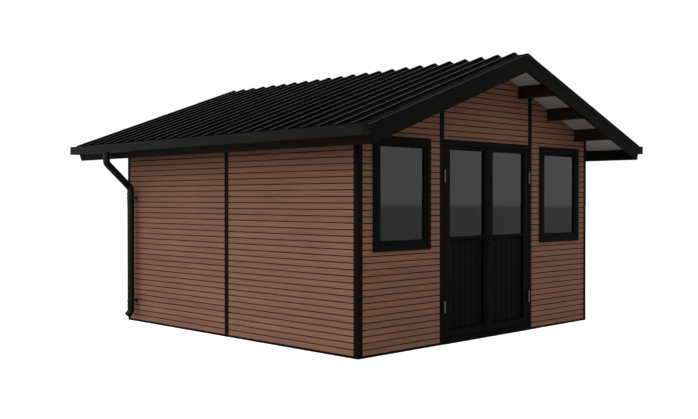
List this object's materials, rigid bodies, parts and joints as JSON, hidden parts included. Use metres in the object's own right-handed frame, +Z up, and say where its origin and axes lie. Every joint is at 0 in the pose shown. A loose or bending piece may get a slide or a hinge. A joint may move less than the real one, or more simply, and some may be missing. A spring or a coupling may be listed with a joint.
{
  "type": "garden shed",
  "caption": "Square garden shed with brown horizontal cladding between black posts, a low black ribbed gable roof, box gutters, fixed windows and half-glazed double doors.",
  "frame": {"origin": "middle of the outline at ground level", "axes": "+Z up, front with the doors faces -Y, +X to the right seen from the front"},
  "size_m": [4.91, 5.08, 3.0288],
  "materials": {
    "cladding": "matte wood-plastic planks, faint grain",
    "dark_frame": "satin black powder coat",
    "roof_sheet": "satin black coated steel",
    "roof_lining": "satin pale grey lining",
    "stained_timber": "dark brown stain",
    "floor_timber": "plain sawn boards",
    "window_glass": "clear, smooth",
    "hardware": "satin black"
  },
  "bodies": {
    "shed": {"base_rails": "dark_frame", "floor": "floor_timber", "corner_post_front_left": "dark_frame", "corner_post_front_right": "dark_frame", "corner_post_back_left": "dark_frame", "corner_post_back_right": "dark_frame", "side_posts": "dark_frame", "back_post": "dark_frame", "door_post_left": "dark_frame", "door_post_right": "dark_frame", "left_wall": "cladding", "right_wall": "cladding", "back_wall": "cladding", "front_wall_left": "cladding", "front_wall_right": "cladding", "front_wall_over_door": "cladding", "ridge_beam": "stained_timber", "purlins": "stained_timber", "roof_panel_left": "roof_lining", "roof_panel_right": "roof_lining", "roof_sheet_left": "roof_sheet", "roof_sheet_right": "roof_sheet", "barge_boards_left": "dark_frame", "barge_boards_right": "dark_frame", "verge_trims": "roof_sheet", "eaves_boards": "dark_frame", "gutter_left": "roof_sheet", "gutter_right": "roof_sheet", "downpipes": "roof_sheet", "window_frame_left": "dark_frame", "window_frame_right": "dark_frame", "window_glass_left": "window_glass", "window_glass_right": "window_glass", "door_head": "dark_frame", "door_threshold": "dark_frame", "fixed_hinges": "hardware"},
    "door_left": {"left_door_frame": "dark_frame", "left_door_panel": "dark_frame", "left_door_glass": "window_glass", "left_door_hinges": "hardware"},
    "door_right": {"right_door_frame": "dark_frame", "right_door_panel": "dark_frame", "right_door_glass": "window_glass", "right_door_hinges": "hardware", "door_handle": "hardware"}
  },
  "joints": [
    {"name": "door_left_hinge", "type": "hinge", "parent": "shed", "child": "door_left", "pos_m": [-0.75, -2.047, 1.055], "axis": [0, 0, -1], "range_deg": [0, 110]},
    {"name": "door_right_hinge", "type": "hinge", "parent": "shed", "child": "door_right", "pos_m": [0.75, -2.047, 1.055], "axis": [0, 0, 1], "range_deg": [0, 110]}
  ]
}
